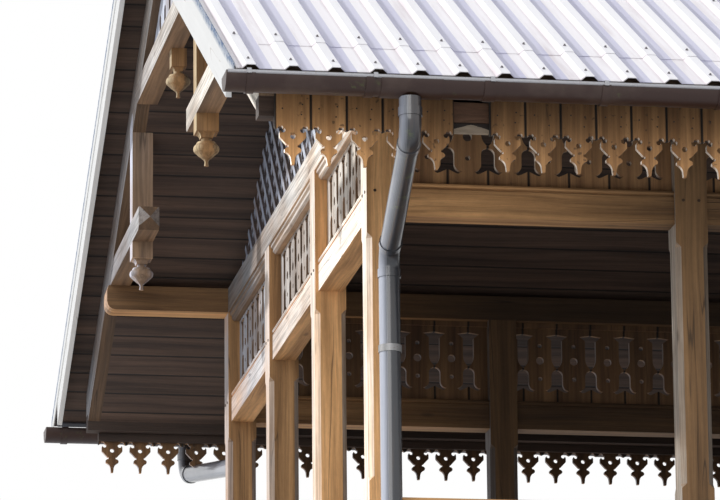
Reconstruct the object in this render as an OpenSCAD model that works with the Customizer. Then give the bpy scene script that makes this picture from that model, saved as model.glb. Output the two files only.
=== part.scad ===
// Two-storey open timber veranda with a gabled sheet-metal roof.
// X runs along the ridge, Y across the gable, Z up. The origin is on the ground
// at the centre of the plan. Lengths are in millimetres.

/* [Plan] */
// Width and depth of each post
post_w = 140; // [115:1:170]
// Width of the stopped chamfers on the posts' edges
chamfer = 22; // [8:1:26]
// Number of bays along each side
side_bays = 4; // [2:1:6]
// Distance between post centres along the sides
side_bay = 1335; // [1100:5:1650]
// Number of bays across each end
end_bays = 3; // [3:2:5]
// Distance between post centres across the ends
end_bay = 1415; // [1150:5:1700]

/* [Storeys] */
// Height of the pad stone under each post
stone_h = 300; // [200:10:450]
// Width of each pad stone
stone_w = 260; // [200:10:340]
// Height of the sill beams
sill_h = 160; // [120:5:200]
// Clear height from a deck to the transoms above it
head_h = 2150; // [1900:10:2500]
// Height of the transoms, with the moulding along their top
transom_h = 147; // [120:1:180]
// Thickness of the transoms across the wall
transom_t = 110; // [80:5:140]
// Height of the moulding along the top of the transoms
bead_h = 28; // [20:1:36]
// Height of the fretted frieze between transom and beam
frieze_h = 413; // [385:1:560]
// Thickness of the frieze boards
frieze_t = 24; // [16:1:32]
// Width of the frieze boards
fret_pitch = 175.5; // [140:0.5:210]
// Height of the openings' lowest point above the foot of the frieze
fret_foot = 12; // [0:1:30]
// Height of the strip along the top of the frieze
strip_h = 26; // [16:1:36]
// Height of the ring beams, side plates and tie beams
ring_h = 124; // [100:2:170]
// Thickness of the deck boards
deck_t = 30; // [20:1:45]
// Width of the floor joists
joist_w = 80; // [60:5:100]
// Thickness of the boards lined under the rafters
ceiling_t = 20; // [14:1:30]
// Width of the laths of the gable lattice
lath_w = 40; // [30:1:50]
// Spacing of the laths, square to them
lath_pitch = 113; // [100:1:140]
// Width of the rim round the gable lattice
lattice_rim = 20; // [16:1:60]

/* [Railings] */
// Height of the handrail above the deck
rail_top = 940; // [850:10:1100]
// Height of the handrail section
rail_h = 60; // [45:5:80]
// Thickness of the rails across the wall
rail_t = 80; // [60:5:100]
// Gap between deck and bottom rail
rail_gap = 90; // [60:5:120]
// Width of each flat baluster
baluster_w = 95; // [60:5:120]
// Thickness of each flat baluster
baluster_t = 22; // [16:1:30]

/* [Roof] */
// Roof pitch in degrees
roof_pitch = 28.3; // [24:0.1:34]
// Depth of the rafters, square to the slope
rafter_d = 180; // [150:1:216]
// Width of the common rafters
rafter_w = 80; // [60:5:100]
// Depth of the birdsmouth below the top of the side plate
birdsmouth = 23; // [15:1:30]
// Thickness of the roof boards
board_t = 22; // [18:1:30]
// Thickness of the battens under the sheet
batten_t = 40; // [30:1:50]
// Width of the battens
batten_w = 60; // [50:5:80]
// Height of the ribs of the roof sheet
rib_h = 20; // [14:1:40]
// Width of the ribs' flat crests
rib_crest = 38; // [24:1:46]
// Width of the ribs at their foot
rib_foot = 74; // [60:1:90]
// Pitch of the ribs of the roof sheet
rib_pitch = 172; // [150:1:220]
// Distance from the sheet's left-hand edge to the middle of its first rib
first_rib = 60; // [48:1:120]
// Thickness of the roof sheet
sheet_t = 3; // [2:0.5:4]
// Distance from the side wall to the lower edge of the sheet
eave_out = 1270; // [1120:5:1530]
// Distance from the end wall to the outer face of the verge
verge_out = 740; // [680:5:850]
// Thickness of the ridge board
ridge_t = 44; // [30:2:60]
// Thickness of the barge boards
barge_t = 24; // [18:1:32]
// Depth of the barge boards, square to the slope
barge_d = 165; // [120:5:190]
// Distance that the barge boards stop short of the roof boards' lower edge
barge_short = 165; // [0:5:200]

/* [Gable trusses] */
// Distance from the end wall to the outer face of the truss
truss_out = 596; // [540:2:640]
// Thickness of the truss timbers along the ridge
truss_t = 100; // [80:2:120]
// Thickness of the trusses' rafters along the ridge
truss_rafter_w = 64; // [50:2:80]
// Distance from the side wall to the nearer face of each hammer post
hammer_in = 960; // [850:5:1100]
// Width of the hammer posts
hammer_w = 100; // [80:2:120]
// Height of the hammer beams
hammer_h = 110; // [80:2:130]
// How far the hammer beams run past the hammer posts
hammer_run = 300; // [150:5:350]
// Height of the collar
collar_h = 110; // [90:2:130]
// Height of the collar above the top of the tie beams
collar_up = 642; // [540:2:700]
// Height of the square block of each pendant
block_h = 76; // [60:2:120]
// Width of the square block under the middle of the collar
king_w = 72; // [60:2:100]
// How far that block hangs behind the middle of the collar
king_back = 28; // [0:1:32]
// Depth that the collar and the posts are lapped over the rafters' face
lap_depth = 90; // [60:2:110]
// Height of the square moulding below each block
cove_h = 30; // [20:1:45]
// Greatest radius of the turned drops
drop_r = 58; // [45:1:70]
// Height of the turned drops, with their stems
drop_h = 125; // [100:1:170]
// How far the side plates run past the truss
nose_out = 17; // [10:1:60]

/* [Eaves] */
// Distance from the side wall to the outer face of the hanging eave boards
drape_out = 966; // [880:2:1010]
// Height of the hanging eave boards
drape_h = 393; // [310:1:450]
// Thickness of the hanging eave boards
drape_t = 22; // [16:1:30]
// Pitch of the hanging eave boards
drape_pitch = 147; // [120:1:170]
// Gap between neighbouring eave boards
drape_gap = 2; // [1:0.5:5]
// Distance from the end wall to the first eave board's edge
drape_past = 534; // [480:2:580]
// Height and depth of the rail that carries the eave boards
eave_rail = 84; // [60:2:100]
// How far that rail is let into the ends of the rafters
rail_notch = 82; // [60:1:90]
// Height of the batten behind the eave boards
eave_batten = 40; // [25:1:60]
// Number of the board that is missing, counted from the left
missing_board = 6; // [2:1:20]

/* [Rainwater] */
// Outer radius of the half-round gutter
gutter_r = 70; // [55:1:80]
// Thickness of the gutter metal
gutter_t = 3; // [2:0.5:4]
// Outer radius of the downpipe
pipe_r = 45; // [35:1:55]
// Wall of the downpipe
pipe_t = 3; // [2:0.5:4]
// Gap between the downpipe and the post behind it
pipe_gap = 35; // [20:1:60]
// Distance between gutter brackets
bracket_pitch = 480; // [350:10:700]
// Width of the gutter brackets
bracket_w = 34; // [20:1:50]
// Thickness of the lug that holds each bracket off the edge of the roof boards
lug_t = 8; // [6:1:12]
// Length of the sleeve round the gutter's outlet
outlet_len = 250; // [180:10:320]
// Drop from the gutter to the corner of the first bend
pipe_drop = 155; // [150:5:260]
// Drop of the slanted run of the downpipe
slant_drop = 188; // [120:2:300]
// Radius of the bends of the downpipe, at its centre line
bend_r = 90; // [75:1:110]

/* [Hidden] */

$fn = 48;
eps = 1;
// Fine joint between pieces that meet at the ridge
joint = 0.3;

// Plan
hall_len = side_bays * side_bay + post_w;
hall_wid = end_bays * end_bay + post_w;
half_len = hall_len / 2;
half_wid = hall_wid / 2;
post_x = half_len - post_w / 2;
post_y = half_wid - post_w / 2;

// Levels
base_1 = stone_h + sill_h;
wall_h = deck_t + head_h + transom_h + frieze_h;
storey_h = wall_h + ring_h;
base_2 = base_1 + storey_h;
plate_low = base_2 + wall_h;
plate_top = plate_low + ring_h;

// Roof
tan_p = tan(roof_pitch);
cos_p = cos(roof_pitch);
boards_low = rafter_d;
battens_low = boards_low + board_t;
sheet_low = battens_low + batten_t;
truss_x = half_len + truss_out;
truss_mid = truss_x - truss_t / 2;
roof_x = half_len + verge_out;
eave_y = half_wid + eave_out;
board_edge = eave_y - 94;
tail_y = half_wid + drape_out - drape_t;

// Points of an arc about a centre, from angle a to angle b
function arc(x, y, r, a, b, n) =
    [for (k = [0 : n]) let (t = a + (b - a) * k / n) [x + r * cos(t), y + r * sin(t)]];
// Whole outline from its right-hand half, listed from the middle outwards
function whole(half) =
    concat(half, [for (k = [len(half) - 1 : -1 : 0]) if (half[k][0] > 0) [-half[k][0], half[k][1]]]);

// Height of the rafters' lower face at a distance y from the ridge
function under_z(y) = plate_top - birdsmouth + (half_wid - y) * tan_p;
// Height of a layer that lies a given distance above the rafters' lower face
function layer_z(y, up) = under_z(y) + up / cos_p;

// Trusses and eaves
hammer_low = plate_top;
collar_low = plate_top + collar_up;
hammer_y = half_wid - hammer_in;
rail_low = under_z(tail_y) + rail_notch - eave_rail;
gutter_y = board_edge + lug_t + gutter_r;
gutter_z = layer_z(eave_y, sheet_low) - 22;
gutter_half = roof_x + 40;

// Downpipe: down from the gutter, a slanted run in to the corner post, then down it
pipe_foot_z = stone_h + 40;
band_t = 4;
band_h = 36;
pipe_mouth = [-half_len - 30, -gutter_y, gutter_z - gutter_r];
pipe_knee = [-half_len + 80, -half_wid - pipe_gap - pipe_r, pipe_mouth[2] - pipe_drop - slant_drop];
pipe_run = norm([pipe_knee[0] - pipe_mouth[0], pipe_knee[1] - pipe_mouth[1]]);
pipe_turn = atan2(pipe_knee[1] - pipe_mouth[1], pipe_knee[0] - pipe_mouth[0]);
slant = atan2(slant_drop, pipe_run);
bend = 90 - slant;
bend_cut = bend_r * tan(bend / 2);

// Copies a child to both sides of the ridge
module both_sides() {
    children();
    mirror([0, 1, 0]) children();
}

// Copies a child to both ends
module both_ends() {
    children();
    mirror([1, 0, 0]) children();
}

// Puts a child at the centre of every post
module at_posts() {
    for (i = [0 : side_bays], s = [-1, 1])
        translate([-post_x + i * side_bay, s * post_y, 0]) children();
    for (j = [1 : end_bays - 1], s = [-1, 1])
        translate([s * post_x, -post_y + j * end_bay, 0]) children();
}

// Puts a child at the middle of every side bay, on both sides
module at_side_bays() {
    for (i = [0 : side_bays - 1], s = [0, 1])
        mirror([0, s, 0])
            translate([-post_x + (i + 0.5) * side_bay, -post_y, 0]) children();
}

// Puts a child at the middle of every end bay, turned to lie along the end wall
module at_end_bays() {
    for (j = [0 : end_bays - 1], s = [0, 1])
        mirror([s, 0, 0])
            translate([-post_x, -post_y + (j + 0.5) * end_bay, 0])
                rotate([0, 0, -90]) children();
}

// Box centred across X and Y, standing on its base
module block(l, w, h) {
    translate([-l / 2, -w / 2, 0]) cube([l, w, h]);
}

// One layer of the near roof slope between two distances from the ridge
module slope_layer(x_from, x_to, y_low, y_high, up, thick) {
    low = layer_z(y_low, up);
    high = layer_z(y_high, up);
    rise = thick / cos_p;
    translate([x_from, 0, 0])
        rotate([90, 0, 90])
            linear_extrude(x_to - x_from)
                polygon([[-y_low, low], [-y_high, high],
                         [-y_high, high + rise], [-y_low, low + rise]]);
}

module pad_stones() {
    color("gray")
        at_posts() block(stone_w, stone_w, stone_h);
}

module side_sills() {
    color("saddlebrown")
        both_sides()
            translate([-half_len, -half_wid, stone_h])
                cube([hall_len, post_w, sill_h]);
}

module end_sills() {
    color("saddlebrown")
        both_ends()
            translate([-half_len, post_w - half_wid, stone_h])
                cube([post_w, hall_wid - 2 * post_w, sill_h]);
}

// Joists between the side beams, two to a bay
module joists(top, depth) {
    for (i = [1 : 2 * side_bays - 1])
        translate([-post_x + i * side_bay / 2 - joist_w / 2, post_w - half_wid, top - depth])
            cube([joist_w, hall_wid - 2 * post_w, depth]);
}

module lower_joists() {
    color("peru") joists(base_1, sill_h);
}

module upper_joists() {
    color("peru") joists(base_2, ring_h);
}

// Deck laid on the beams and joists, notched round the posts
module deck(level) {
    difference() {
        translate([-half_len, -half_wid, level]) cube([hall_len, hall_wid, deck_t]);
        at_posts() translate([0, 0, level - eps]) block(post_w + 2, post_w + 2, deck_t + 2 * eps);
        both_ends() both_sides()
            translate([-half_len - eps, -half_wid - eps, level - eps])
                cube([post_w + 2, post_w + 2, deck_t + 2 * eps]);
    }
}

module lower_deck() {
    color("sienna") deck(base_1);
}

module upper_deck() {
    color("sienna") deck(base_2);
}

// Post with its edges chamfered between sloping stops
module post() {
    reach = post_w / sqrt(2);
    stop_1 = deck_t + rail_top + 60;
    stop_2 = deck_t + head_h - 80;
    difference() {
        block(post_w, post_w, wall_h);
        for (a = [45 : 90 : 315])
            rotate([90, 0, a])
                translate([0, 0, -chamfer])
                    linear_extrude(2 * chamfer)
                        polygon([[reach + eps, stop_1 - eps], [reach - chamfer / sqrt(2), stop_1 + chamfer],
                                 [reach - chamfer / sqrt(2), stop_2 - chamfer], [reach + eps, stop_2 + eps]]);
    }
}

module lower_posts() {
    color("burlywood") translate([0, 0, base_1]) at_posts() post();
}

module upper_posts() {
    color("burlywood") translate([0, 0, base_2]) at_posts() post();
}

// Transom of the given length, with a rounded moulding along its top edges
module transom(length) {
    bead_r = bead_h * 0.32;
    quirk = 7;
    side = concat([[0, 0], [transom_t / 2, 0], [transom_t / 2, transom_h - bead_h],
                   [transom_t / 2 - quirk, transom_h - bead_h + 3],
                   [transom_t / 2 - quirk, transom_h - 2 * bead_r]],
                  arc(transom_t / 2 - quirk, transom_h - bead_r, bead_r, -60, 90, 3));
    translate([-length / 2, 0, 0])
        rotate([90, 0, 90])
            linear_extrude(length) polygon(whole(side));
}

module transoms(level) {
    translate([0, 0, level + deck_t + head_h]) {
        at_side_bays() transom(side_bay - post_w);
        at_end_bays() transom(end_bay - post_w);
    }
}

module lower_transoms() {
    color("burlywood") transoms(base_1);
}

module upper_transoms() {
    color("burlywood") transoms(base_2);
}

// Bell-shaped opening sawn at a joint between two boards
module bell() {
    r = 30;
    translate([-r, 84]) square([2 * r, 47]);
    translate([0, 131]) circle(r);
    difference() {
        polygon(whole([[0, 64], [34, 47], [46, 44], [63, 56], [60, 90]]));
        for (s = [-1, 1]) translate([s * 2 * r, 86]) circle(r);
    }
}

// Tulip-shaped opening above the bell, with a pointed foot where two arcs cross
module tulip() {
    half = 28;
    foot_top = 222;
    arc_r = 66;
    translate([-half, foot_top]) square([2 * half, 100]);
    polygon(whole([[0, 316], [half, 316], [57, 338], [0, 346]]));
    intersection() {
        translate([half - arc_r, foot_top]) circle(arc_r);
        translate([arc_r - half, foot_top]) circle(arc_r);
        translate([-half, foot_top - arc_r]) square([2 * half, arc_r + 0.5]);
    }
}

// Fretted boards that fill a bay, with the middle joint set off from the middle of the bay
module frieze(clear, shift) {
    joints = floor((clear / 2 - 40) / fret_pitch);
    rotate([90, 0, 0])
        translate([0, 0, -frieze_t / 2])
            linear_extrude(frieze_t)
                difference() {
                    translate([-clear / 2, 0]) square([clear, frieze_h]);
                    for (k = [-joints : joints])
                        translate([shift + k * fret_pitch, fret_foot]) {
                            bell();
                            tulip();
                        }
                    for (k = [-joints : joints - 1])
                        translate([shift + (k + 0.5) * fret_pitch, fret_foot]) {
                            translate([0, 114]) circle(11);
                            translate([0, 208]) circle(20);
                            translate([0, 285]) circle(11);
                        }
                }
    for (s = [-1, 1])
        translate([0, s * (frieze_t / 2 + 5), frieze_h - strip_h]) block(clear, 14, strip_h);
}

module side_friezes(level) {
    translate([0, 0, level + deck_t + head_h + transom_h])
        at_side_bays() frieze(side_bay - post_w, -26);
}

module end_friezes(level) {
    translate([0, 0, level + deck_t + head_h + transom_h])
        at_end_bays() frieze(end_bay - post_w, 0);
}

module lower_side_friezes() {
    color("tan") side_friezes(base_1);
}

module lower_end_friezes() {
    color("tan") end_friezes(base_1);
}

module upper_side_friezes() {
    color("tan") side_friezes(base_2);
}

module upper_end_friezes() {
    color("tan") end_friezes(base_2);
}

// Railing that fills a bay of the given clear width
module railing(clear) {
    count = floor(clear / (1.55 * baluster_w));
    step = clear / count;
    translate([0, 0, rail_top - rail_h]) block(clear, rail_t, rail_h);
    translate([0, 0, rail_gap]) block(clear, rail_t, rail_h);
    for (k = [0 : count - 1])
        translate([-clear / 2 + (k + 0.5) * step, 0, rail_gap + rail_h - eps])
            block(baluster_w, baluster_t, rail_top - rail_gap - 2 * rail_h + 2 * eps);
}

module lower_railings() {
    color("burlywood")
        translate([0, 0, base_1 + deck_t]) {
            at_side_bays() railing(side_bay - post_w);
            for (j = [0 : end_bays - 1], s = [-1, 1])
                if (s < 0 || j != (end_bays - 1) / 2)
                    translate([s * post_x, -post_y + (j + 0.5) * end_bay, 0])
                        rotate([0, 0, 90]) railing(end_bay - post_w);
        }
}

module upper_railings() {
    color("burlywood")
        translate([0, 0, base_2 + deck_t]) {
            at_side_bays() railing(side_bay - post_w);
            at_end_bays() railing(end_bay - post_w);
        }
}

module side_ring_beams() {
    color("saddlebrown")
        both_sides()
            translate([-half_len, -half_wid, base_1 + wall_h])
                cube([hall_len, post_w, ring_h]);
}

module end_ring_beams() {
    color("saddlebrown")
        both_ends()
            translate([-half_len, post_w - half_wid, base_1 + wall_h])
                cube([post_w, hall_wid - 2 * post_w, ring_h]);
}

// Side plate with rounded noses that carry the trusses
module side_plates() {
    nose = truss_x + nose_out;
    round_r = 0.35 * ring_h;
    side = concat([[0, 0]], arc(nose - round_r, round_r, round_r, -90, 0, 4),
                  [[nose, 0.8 * ring_h], [nose - 8, ring_h], [0, ring_h]]);
    color("saddlebrown")
        both_sides()
            translate([0, post_w - half_wid, plate_low])
                rotate([90, 0, 0])
                    linear_extrude(post_w) polygon(whole(side));
}

module tie_beams() {
    color("burlywood")
        both_ends()
            translate([-half_len, post_w - half_wid, plate_low])
                cube([post_w, hall_wid - 2 * post_w, ring_h]);
}

// Boards lined under the near slope's rafters, inside and outside the side plate
module lining(below) {
    reach = truss_x - truss_rafter_w;
    slope_layer(-reach, reach, half_wid - birdsmouth / tan_p, joint / 2, -below, ceiling_t + below);
    slope_layer(-reach, reach, tail_y - eave_rail, half_wid, -below, ceiling_t + below);
}

module ceiling_boards() {
    color("saddlebrown") both_sides() lining(0);
}

// Outline under the end rafters above a level, kept a margin inside
module gable_shape(level, run, margin) {
    low = level + margin;
    drop = margin / cos_p;
    edge = min(run - margin, half_wid - (low + drop - under_z(half_wid)) / tan_p);
    polygon([[-edge, low], [edge, low], [edge, under_z(edge) - drop],
             [0, under_z(0) - drop], [-edge, under_z(edge) - drop]]);
}

// Lattice of crossing laths in a frame, between the tie beam and the end rafters
module lattice() {
    run = half_wid - post_w;
    step = lath_pitch / sqrt(2);
    columns = ceil(run / step);
    rows = ceil((under_z(0) - plate_top) / step);
    difference() {
        gable_shape(plate_top, run, 0);
        intersection() {
            gable_shape(plate_top, run, lattice_rim);
            union()
                for (i = [-columns : columns], j = [0 : rows])
                    if ((i + j) % 2 == 0 && plate_top + j * step < under_z(abs(i) * step))
                        translate([i * step, plate_top + j * step])
                            rotate(45) square(lath_pitch - lath_w, center = true);
        }
    }
}

// Fretted boards over the collar of each truss
module collar_fretwork() {
    level = collar_low + collar_h;
    difference() {
        gable_shape(level, half_wid, 0);
        for (k = [-2 : 2]) translate([k * fret_pitch, level]) bell();
        translate([0, level]) tulip();
        for (s = [-1, 1]) translate([s * fret_pitch / 2, level + 208]) circle(20);
    }
}

module gable_lattices() {
    color("tan")
        both_ends() {
            translate([-half_len + post_w / 2, 0, 0])
                rotate([90, 0, 90]) linear_extrude(frieze_t) lattice();
            translate([-truss_mid - frieze_t / 2, 0, 0])
                rotate([90, 0, 90]) linear_extrude(frieze_t) collar_fretwork();
        }
}

module ridge_board() {
    low = layer_z(0, ceiling_t);
    reach = truss_x - truss_rafter_w;
    color("saddlebrown")
        translate([-reach, -ridge_t / 2, low])
            cube([2 * reach, ridge_t, layer_z(ridge_t / 2, rafter_d) - low]);
}

// Rafter of the near slope up to a distance from the ridge, cut over the side plate and the eave rail
module rafter(x, w, top_y) {
    difference() {
        slope_layer(x - w / 2, x + w / 2, tail_y, top_y, 0, rafter_d);
        translate([x - w / 2 - eps, -half_wid, plate_low])
            cube([w + 2 * eps, post_w, ring_h]);
        translate([x - w / 2 - eps, -tail_y - eps, rail_low - eps])
            cube([w + 2 * eps, eave_rail + eps, eave_rail + eps]);
    }
}

module common_rafters() {
    color("peru")
        both_sides()
            difference() {
                for (i = [0 : 2 * side_bays])
                    rafter(-post_x + i * side_bay / 2, rafter_w, ridge_t / 2);
                lining(eps);
            }
}

module near_roof_boards() {
    color("saddlebrown")
        slope_layer(-roof_x + barge_t, roof_x - barge_t, board_edge, 0, boards_low, board_t);
}

module far_roof_boards() {
    color("saddlebrown")
        mirror([0, 1, 0])
            slope_layer(-roof_x + barge_t, roof_x - barge_t, board_edge, 0, boards_low, board_t);
}

module roof_battens() {
    count = 8;
    first = board_edge - 5;
    color("peru")
        both_sides()
            for (k = [0 : count - 1]) {
                y = first - k * (first - 150) / (count - 1);
                slope_layer(-roof_x + barge_t, roof_x - barge_t, y, y - batten_w * cos_p,
                            battens_low, batten_t);
            }
}

// Cross-section of the roof sheet, ribs up, centred on X
module sheet_profile(length) {
    pan_edge = length / 2;
    crest = rib_crest / 2;
    foot = rib_foot / 2;
    ribs = floor((length - first_rib - foot) / rib_pitch) + 1;
    top = [for (k = [0 : ribs - 1])
        let (c = first_rib - pan_edge + k * rib_pitch)
        each [[c - foot, sheet_t], [c - crest, rib_h], [c + crest, rib_h], [c + foot, sheet_t]]];
    low = [for (k = [ribs - 1 : -1 : 0])
        let (c = first_rib - pan_edge + k * rib_pitch)
        each [[c + foot - sheet_t, 0], [c + crest - sheet_t, rib_h - sheet_t],
              [c - crest + sheet_t, rib_h - sheet_t], [c - foot + sheet_t, 0]]];
    polygon(concat([[-pan_edge, sheet_t]], top, [[pan_edge, sheet_t], [pan_edge, 0]],
                   low, [[-pan_edge, 0]]));
}

// Sheet of the near slope, from the eave to just short of the ridge
module roof_sheet() {
    run = (eave_y - 12) / cos_p;
    translate([0, -eave_y, layer_z(eave_y, sheet_low)])
        rotate([roof_pitch, 0, 0])
            rotate([-90, 0, 0])
                mirror([0, 1, 0])
                    linear_extrude(run) sheet_profile(2 * (roof_x - 6));
}

module near_roof_sheet() {
    color("thistle") roof_sheet();
}

module far_roof_sheet() {
    color("thistle") mirror([0, 1, 0]) roof_sheet();
}

module ridge_cap() {
    flap = 170;
    low = layer_z(flap, sheet_low + rib_h);
    high = layer_z(0, sheet_low + rib_h);
    color("thistle")
        translate([-roof_x, 0, 0])
            rotate([90, 0, 90])
                linear_extrude(2 * roof_x)
                    polygon([[-flap, low], [0, high], [flap, low],
                             [flap, low + sheet_t], [0, high + sheet_t], [-flap, low + sheet_t]]);
}

module barge_boards() {
    color("white")
        both_ends() both_sides()
            slope_layer(-roof_x, -roof_x + barge_t, board_edge - barge_short, joint / 2,
                        sheet_low - barge_d, barge_d);
}

module verge_flashings() {
    color("slategray")
        both_ends() both_sides()
            slope_layer(-roof_x - 4, -roof_x, eave_y, joint / 2, sheet_low - 60, 60 + rib_h);
}

// Rafters of the trusses, halved where the collar and the hammer posts lap over them
module truss_rafters() {
    color("burlywood")
        both_ends() both_sides()
            difference() {
                rafter(truss_rafter_w / 2 - truss_x, truss_rafter_w, joint / 2);
                lap_cut();
            }
}

// Half-lap that a rafter leaves for the hammer post and the collar
module lap_cut() {
    intersection() {
        slope_layer(-truss_x - eps, -truss_x + truss_rafter_w / 2, half_wid, 0, -eps, lap_depth + eps);
        translate([-truss_x - 1, 0, 0])
            rotate([90, 0, 90])
                linear_extrude(truss_rafter_w)
                    polygon([[-hammer_y, hammer_low], [-hammer_y + hammer_w, hammer_low],
                             [-hammer_y + hammer_w, collar_low], [0, collar_low],
                             [0, collar_low + collar_h], [-hammer_y, collar_low + collar_h]]);
    }
}

// Space above the near rafters' underside by a height, behind a depth from the truss's outer face
module roof_space(up, depth) {
    slope_layer(-truss_x + depth, -truss_x + truss_t + eps, half_wid + post_w, 0, up, 2 * rafter_d);
}

// Child cut off under the rafters, but for a lap over the outer half of their thickness
module lapped() {
    difference() {
        children();
        both_sides() {
            roof_space(0, truss_rafter_w / 2);
            roof_space(lap_depth, -eps);
        }
    }
}

// Hammer beam, laid on the side plate, with its inner end cut to a point
module hammer_beams() {
    run = hammer_in + hammer_w + hammer_run;
    color("burlywood")
        both_ends() both_sides()
            difference() {
                translate([-truss_x, -half_wid, hammer_low])
                    intersection() {
                        rotate([90, 0, 90])
                            linear_extrude(truss_t)
                                polygon([[0, 0], [run - 70, 0], [run, 0.45 * hammer_h],
                                         [run - 45, hammer_h], [0, hammer_h]]);
                        linear_extrude(hammer_h)
                            polygon([[0, 0], [truss_t, 0], [truss_t, run - 50],
                                     [truss_t / 2, run], [0, run - 50]]);
                    }
                roof_space(0, -eps);
            }
}

// Half outline of the turned drop, from its top down: a flat top, a full round, then a stem
function drop_side() =
    concat([[0, 0], [0.38 * drop_r, 0], [0.38 * drop_r, -0.12 * drop_h], [0.72 * drop_r, -0.14 * drop_h]],
           arc(0.62 * drop_r, -0.38 * drop_h, 0.38 * drop_r, 60, -40, 5),
           [[0.52 * drop_r, -0.66 * drop_h], [0.22 * drop_r, -0.77 * drop_h],
            [0.14 * drop_r, -0.84 * drop_h], [0.17 * drop_r, -drop_h], [0, -drop_h]]);

// Square block with a moulding and a turned drop below it, hanging from z = 0
module pendant(w) {
    foot = 0.27 * w;
    cove = concat([[0, eps], [w / 2, eps], [w / 2, -4]],
                  arc(w / 2, -cove_h + 2, w / 2 - foot, 90, 180, 4), [[foot, -cove_h], [0, -cove_h]]);
    translate([0, 0, -block_h]) {
        block(w, w, block_h);
        intersection() {
            rotate([90, 0, 0]) translate([0, 0, -w / 2]) linear_extrude(w) polygon(whole(cove));
            rotate([90, 0, 90]) translate([0, 0, -w / 2]) linear_extrude(w) polygon(whole(cove));
        }
        translate([0, 0, -cove_h]) rotate_extrude() polygon(drop_side());
    }
}

// Post between hammer beam and collar
module hammer_post() {
    lapped()
        translate([-truss_x, -hammer_y, hammer_low + hammer_h])
            cube([truss_t, hammer_w, collar_low - hammer_low - hammer_h]);
}

module hammer_posts() {
    color("burlywood")
        both_ends() both_sides() {
            hammer_post();
            translate([-truss_mid, -hammer_y + hammer_w / 2, hammer_low]) pendant(hammer_w);
        }
}

module collar() {
    lapped()
        translate([-truss_x, -hammer_y, collar_low]) cube([truss_t, 2 * hammer_y, collar_h]);
}

module collars() {
    color("burlywood") both_ends() collar();
}

module king_pendants() {
    color("burlywood")
        both_ends()
            translate([-truss_mid + king_back, 0, collar_low]) pendant(king_w);
}

// Rail let into the rafters' ends, and a batten behind the eave boards below it
module eave_rails() {
    first = half_len + drape_past;
    color("peru")
        both_sides() {
            translate([-truss_x, -tail_y, rail_low])
                cube([2 * truss_x, eave_rail, eave_rail]);
            translate([-first, -tail_y, rail_low - 3 - eave_batten])
                cube([2 * first, 26, eave_batten]);
        }
}

// Outline of a hanging eave board: square above, a lobe, a spade and a fine tip below
module drape_shape() {
    half = (drape_pitch - drape_gap) / 2;
    difference() {
        union() {
            polygon(whole([[0, 82], [26, 82], [54, 112], [54, 132], [50, 140], [half - 10, 151],
                           [half, 146], [half, drape_h], [0, drape_h]]));
            translate([-24, 60]) square([48, 30]);
            difference() {
                polygon(whole([[0, 0], [6, 0], [9, 22], [34, 54], [34, 62], [26, 70], [0, 70]]));
                for (s = [-1, 1]) translate([s * 46, 16]) circle(38);
            }
        }
        for (s = [-1, 1]) {
            translate([s * 24, 75.5]) circle(6);
            translate([s * 39.5, 141]) circle(10);
            translate([s * 50.5, 151]) circle(11);
        }
        translate([0, 116]) circle(11);
    }
}

// Row of hanging boards along the near eave, from its left-hand end
module eave_boards(skip) {
    first = -half_len - drape_past;
    count = floor(-2 * first / drape_pitch);
    top = layer_z(half_wid + drape_out, rafter_d) - 6;
    for (k = [0 : count - 1])
        if (k != skip)
            translate([first + (k + 0.5) * drape_pitch, -tail_y, top - drape_h])
                rotate([90, 0, 0])
                    linear_extrude(drape_t) drape_shape();
}

module near_eave_boards() {
    color("peru") eave_boards(missing_board - 1);
}

module far_eave_boards() {
    color("peru") mirror([0, 1, 0]) eave_boards(-1);
}

module gutters() {
    color("dimgray")
        both_sides()
            translate([-gutter_half, -gutter_y, gutter_z])
                rotate([90, 0, 90])
                    difference() {
                        cylinder(r = gutter_r, h = 2 * gutter_half);
                        translate([0, 0, gutter_t])
                            cylinder(r = gutter_r - gutter_t, h = 2 * gutter_half - 2 * gutter_t);
                        translate([-gutter_r - eps, 0, -eps])
                            cube([2 * gutter_r + 2 * eps, gutter_r + eps, 2 * gutter_half + 2 * eps]);
                    }
}

// Half ring under the gutter, of the given length along the eave
module half_ring(length, strap) {
    rotate([90, 0, 90])
        translate([0, 0, -length / 2])
            linear_extrude(length)
                difference() {
                    circle(gutter_r + strap);
                    circle(gutter_r);
                    translate([-gutter_r - 2 * strap, 0])
                        square([2 * gutter_r + 4 * strap, gutter_r + 2 * strap]);
                }
}

module gutter_brackets() {
    first = gutter_half - 100;
    count = floor(2 * first / bracket_pitch);
    color("dimgray")
        both_sides() {
            for (k = [0 : count])
                if (abs(-first + k * bracket_pitch - pipe_mouth[0]) > outlet_len / 2 + 20)
                    translate([-first + k * bracket_pitch, -gutter_y, gutter_z]) {
                        half_ring(bracket_w, 5);
                        translate([-bracket_w / 2, gutter_r, -4]) cube([bracket_w, lug_t, 30]);
                    }
            translate([pipe_mouth[0], -gutter_y, gutter_z])
                difference() {
                    half_ring(outlet_len, 4);
                    translate([0, 0, -gutter_r - 20]) cylinder(r = pipe_r + 1, h = 60);
                }
        }
}

// Cross-section of the downpipe
module pipe_ring() {
    difference() {
        circle(pipe_r);
        circle(pipe_r - pipe_t);
    }
}

// Arc of pipe about a centre, between two angles in the plane of the bends
module elbow(x, z, from) {
    translate([x, 0, z])
        rotate([90, 0, 0])
            rotate([0, 0, from])
                rotate_extrude(angle = bend)
                    translate([bend_r, 0]) pipe_ring();
}

// Straight length of pipe with a band round each end that meets a bend
module pipe_length(length, bands) {
    linear_extrude(length) pipe_ring();
    for (z = bands)
        translate([0, 0, z])
            difference() {
                cylinder(r = pipe_r + band_t, h = band_h);
                translate([0, 0, -eps]) cylinder(r = pipe_r + joint, h = band_h + 2 * eps);
            }
}

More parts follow.
